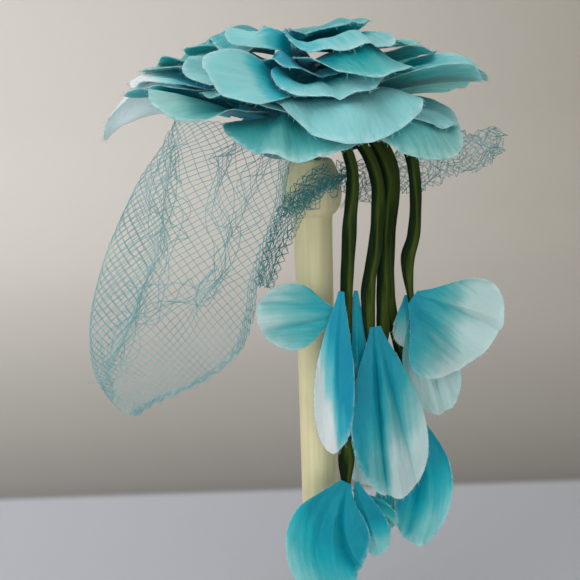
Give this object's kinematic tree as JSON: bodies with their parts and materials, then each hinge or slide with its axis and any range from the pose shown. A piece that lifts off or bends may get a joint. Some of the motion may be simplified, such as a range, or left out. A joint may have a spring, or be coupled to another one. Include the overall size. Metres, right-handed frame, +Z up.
{
  "type": "flower fascinator on its display stand",
  "caption": "Flat layered rose of satin petals with a folded net veil and hanging covered stems ending in loose blossoms, resting on a round post with a knob and a flat foot.",
  "frame": {"origin": "centre of the stand foot's flat underside", "axes": "+Z up along the post, -Y towards the front of the flower where the stems hang, +X to the right seen from the front"},
  "size_m": [0.2188, 0.1804, 0.3591],
  "materials": {
    "wood": "smooth cream turned wood, satin",
    "felt": "padded felt",
    "satin": "dyed satin, pale rims to deep teal roots",
    "velvet": "dark green velvet over wire",
    "net": "fine teal net"
  },
  "bodies": {
    "root": {"stand_foot": "wood", "stand_post": "wood", "flower_base": "felt", "petal_01": "satin", "petal_02": "satin", "petal_03": "satin", "petal_04": "satin", "petal_05": "satin", "petal_06": "satin", "petal_07": "satin", "petal_08": "satin", "petal_09": "satin", "petal_10": "satin", "petal_11": "satin", "petal_12": "satin", "petal_13": "satin", "petal_14": "satin", "petal_15": "satin", "petal_16": "satin", "petal_17": "satin", "petal_18": "satin", "petal_19": "satin", "petal_20": "satin", "petal_21": "satin", "petal_22": "satin", "petal_23": "satin", "petal_24": "satin", "petal_25": "satin", "petal_26": "satin", "petal_27": "satin", "petal_28": "satin", "petal_29": "satin", "petal_30": "satin", "petal_31": "satin", "petal_32": "satin", "petal_33": "satin", "petal_34": "satin", "petal_35": "satin", "petal_36": "satin", "stem_1": "velvet", "stem_2": "velvet", "stem_3": "velvet", "stem_4": "velvet", "stem_5": "velvet", "blossom_a_petal_1": "satin", "blossom_a_petal_2": "satin", "blossom_a_petal_3": "satin", "blossom_b_petal_1": "satin", "blossom_b_petal_2": "satin", "blossom_b_petal_3": "satin", "blossom_c_petal_1": "satin", "blossom_c_petal_2": "satin", "blossom_c_petal_3": "satin", "blossom_d_petal_1": "satin", "blossom_d_petal_2": "satin", "blossom_e_petal_1": "satin", "blossom_e_petal_2": "satin", "veil": "net", "veil_gather": "net", "veil_right": "net"}
  },
  "joints": []
}
